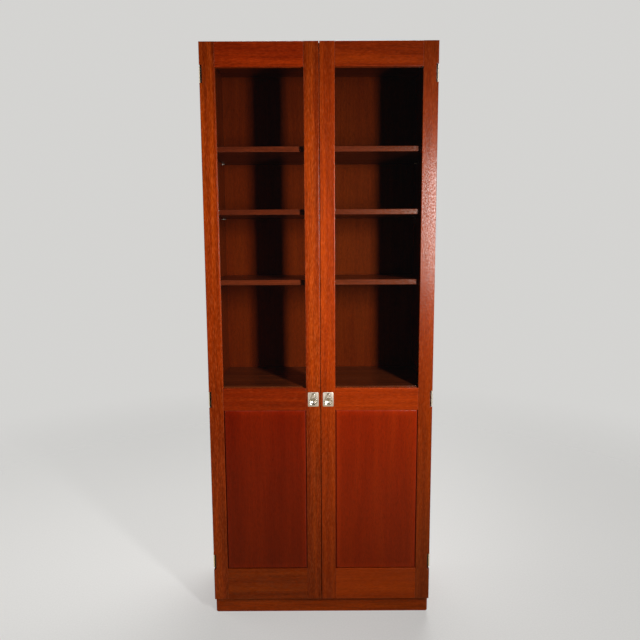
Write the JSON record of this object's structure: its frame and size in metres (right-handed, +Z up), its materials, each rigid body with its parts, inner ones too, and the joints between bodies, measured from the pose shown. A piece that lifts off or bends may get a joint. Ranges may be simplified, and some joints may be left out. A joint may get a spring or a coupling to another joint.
{
  "type": "glazed storage cabinet",
  "caption": "Tall free-standing wooden cabinet on a plinth, with hinged doors that are glazed above and panelled below, ring pulls, and shelves inside.",
  "frame": {"origin": "on the floor, under the middle of the cabinet's overall box", "axes": "+Z up, -Y out of the doors' fronts, +X to the right as seen from the front"},
  "size_m": [0.8086, 0.3729, 2.052],
  "materials": {
    "frame_wood": "satin lacquered mahogany, straight grain",
    "panel_wood": "satin lacquered mahogany, darker, straight grain",
    "inner_wood": "satin lacquered mahogany veneer",
    "back_wood": "lacquered mahogany plywood",
    "glass": "clear float glass",
    "nickel": "satin nickel plate",
    "steel": "plain steel"
  },
  "bodies": {
    "case": {"left_side_panel": "frame_wood", "right_side_panel": "frame_wood", "top_panel": "inner_wood", "bottom_panel": "inner_wood", "middle_deck": "inner_wood", "back_panel": "back_wood", "plinth_front": "frame_wood", "plinth_back": "frame_wood", "plinth_left": "frame_wood", "plinth_right": "frame_wood", "first_shelf": "inner_wood", "second_shelf": "inner_wood", "third_shelf": "inner_wood", "cupboard_shelf": "inner_wood", "first_shelf_pin_front_left": "steel", "first_shelf_pin_front_right": "steel", "first_shelf_pin_rear_left": "steel", "first_shelf_pin_rear_right": "steel", "second_shelf_pin_front_left": "steel", "second_shelf_pin_front_right": "steel", "second_shelf_pin_rear_left": "steel", "second_shelf_pin_rear_right": "steel", "third_shelf_pin_front_left": "steel", "third_shelf_pin_front_right": "steel", "third_shelf_pin_rear_left": "steel", "third_shelf_pin_rear_right": "steel", "left_case_hinge_leaf_top": "steel", "left_case_hinge_leaf_middle": "steel", "left_case_hinge_leaf_bottom": "steel", "right_case_hinge_leaf_top": "steel", "right_case_hinge_leaf_middle": "steel", "right_case_hinge_leaf_bottom": "steel", "magnetic_catch": "steel"},
    "left_door": {"left_door_outer_stile": "frame_wood", "left_door_meeting_stile": "frame_wood", "left_door_top_rail": "frame_wood", "left_door_middle_rail": "frame_wood", "left_door_bottom_rail": "frame_wood", "left_door_glass": "glass", "left_door_glazing_bead": "frame_wood", "left_door_panel": "panel_wood", "left_door_hinge_leaf_top": "steel", "left_door_hinge_leaf_middle": "steel", "left_door_hinge_leaf_bottom": "steel", "left_pull_plate": "nickel"},
    "right_door": {"right_door_outer_stile": "frame_wood", "right_door_meeting_stile": "frame_wood", "right_door_top_rail": "frame_wood", "right_door_middle_rail": "frame_wood", "right_door_bottom_rail": "frame_wood", "right_door_glass": "glass", "right_door_glazing_bead": "frame_wood", "right_door_panel": "panel_wood", "right_door_hinge_leaf_top": "steel", "right_door_hinge_leaf_middle": "steel", "right_door_hinge_leaf_bottom": "steel", "right_pull_plate": "nickel"},
    "left_ring": {"left_pull_ring": "nickel"},
    "right_ring": {"right_pull_ring": "nickel"}
  },
  "joints": [
    {"name": "left_door_hinge", "type": "hinge", "parent": "case", "child": "left_door", "pos_m": [-0.4003, -0.1641, 0.8315], "axis": [0, 0, -1], "range_deg": [0, 180]},
    {"name": "right_door_hinge", "type": "hinge", "parent": "case", "child": "right_door", "pos_m": [0.4003, -0.1641, 0.8315], "axis": [0, 0, 1], "range_deg": [0, 180]},
    {"name": "left_ring_pivot", "type": "hinge", "parent": "left_door", "child": "left_ring", "pos_m": [-0.0267, -0.1848, 0.8518], "axis": [-1, 0, 0], "range_deg": [0, 110]},
    {"name": "right_ring_pivot", "type": "hinge", "parent": "right_door", "child": "right_ring", "pos_m": [0.0267, -0.1848, 0.8518], "axis": [-1, 0, 0], "range_deg": [0, 110]}
  ]
}
